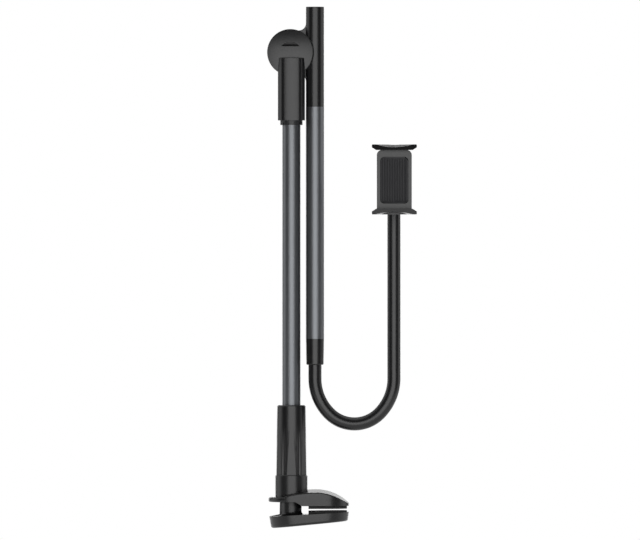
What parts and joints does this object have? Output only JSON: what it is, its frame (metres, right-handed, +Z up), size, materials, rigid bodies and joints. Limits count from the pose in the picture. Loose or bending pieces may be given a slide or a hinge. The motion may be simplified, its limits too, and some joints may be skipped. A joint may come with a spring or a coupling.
{
  "type": "phone gooseneck holder",
  "caption": "Table-clamp phone holder: screw clamp with turning column, folding upper arm, flexible gooseneck and sprung phone clip on a ball joint.",
  "frame": {"origin": "centre of the upper jaw pad's clamping face, which lies on the table top", "axes": "+X along the jaws to their tips, +Z up along the column, -Y the front, where the phone faces"},
  "size_m": [0.1803, 0.1249, 0.6305],
  "materials": {
    "black_abs": "satin",
    "neck_rubber": "matte",
    "pad_rubber": "matte",
    "silicone": "matte",
    "anodised_tube": "anodised",
    "core_wire": "drawn",
    "steel": "plated",
    "brass": "turned",
    "nylon": "satin"
  },
  "bodies": {
    "clamp": {"upper_jaw": "black_abs", "upper_jaw_pad": "pad_rubber", "grip_retaining_ring": "steel"},
    "moving_jaw": {"lower_jaw": "black_abs", "lower_jaw_pad": "pad_rubber", "post_nut": "brass"},
    "column": {"grip": "black_abs", "clamp_screw": "steel", "lower_tube": "anodised_tube", "tube_plug": "nylon"},
    "head": {"hinge_head": "black_abs", "hinge_cap": "black_abs", "hinge_bolt": "steel", "hinge_nut": "steel", "spring_washers": "steel", "friction_disc": "nylon", "swivel_bush": "nylon"},
    "arm": {"arm_knuckle": "black_abs", "rear_cap": "black_abs", "upper_tube": "anodised_tube", "gooseneck_ferrule": "black_abs"},
    "neck_lower": {"gooseneck_sleeve_lower": "neck_rubber", "gooseneck_core_lower": "core_wire"},
    "neck_upper": {"gooseneck_sleeve_upper": "neck_rubber", "gooseneck_core_upper": "core_wire", "ball_stud": "steel"},
    "socket_nut": {"ball_nut": "black_abs"},
    "clip": {"clip_body": "black_abs", "clip_back_cover": "black_abs", "clip_lower_pad": "silicone", "clip_back_pad": "silicone", "clip_springs": "steel", "clip_screws": "steel"},
    "clip_jaw": {"clip_upper_jaw": "black_abs", "clip_upper_pad": "silicone"}
  },
  "joints": [
    {"name": "screw_turn", "type": "hinge", "parent": "clamp", "child": "column", "pos_m": [-0.044, 0, 0.04], "axis": [0, 0, 1], "range_deg": [0, 1800]},
    {"name": "jaw_slide", "type": "slide", "parent": "clamp", "child": "moving_jaw", "axis": [0, 0, -1], "range_m": [0, 0.05]},
    {"name": "head_swivel", "type": "hinge", "parent": "column", "child": "head", "pos_m": [-0.044, 0, 0.485], "axis": [0, 0, 1], "continuous": true},
    {"name": "arm_fold", "type": "hinge", "parent": "head", "child": "arm", "pos_m": [-0.0453, 0, 0.552], "axis": [0, -1, 0], "range_deg": [0, 180]},
    {"name": "neck_fold", "type": "hinge", "parent": "arm", "child": "neck_lower", "pos_m": [0.03225, 0, 0.149], "axis": [0, 1, 0], "range_deg": [-3, 90], "deforming": ["gooseneck_sleeve_lower", "gooseneck_core_lower"]},
    {"name": "neck_lean", "type": "hinge", "parent": "neck_lower", "child": "neck_upper", "pos_m": [0.08, 0, 0.265], "axis": [1, 0, 0], "range_deg": [-40, 60], "deforming": ["gooseneck_sleeve_upper", "gooseneck_core_upper"]},
    {"name": "clip_tilt", "type": "hinge", "parent": "neck_upper", "child": "socket_nut", "pos_m": [0.08, -0.06, 0.3975], "axis": [1, 0, 0], "range_deg": [-25, 25]},
    {"name": "clip_spin", "type": "hinge", "parent": "socket_nut", "child": "clip", "pos_m": [0.08, -0.06, 0.3975], "axis": [0, -1, 0], "continuous": true},
    {"name": "clip_open", "type": "slide", "parent": "clip", "child": "clip_jaw", "axis": [0, 0, 1], "range_m": [0, 0.025], "stiffness_N_per_m": 200, "springref_m": -0.03, "deforming": ["clip_springs"]}
  ],
  "couplings": [
    {"joint": "screw_turn", "follows": "jaw_slide", "rad_per_m": 628.32}
  ]
}
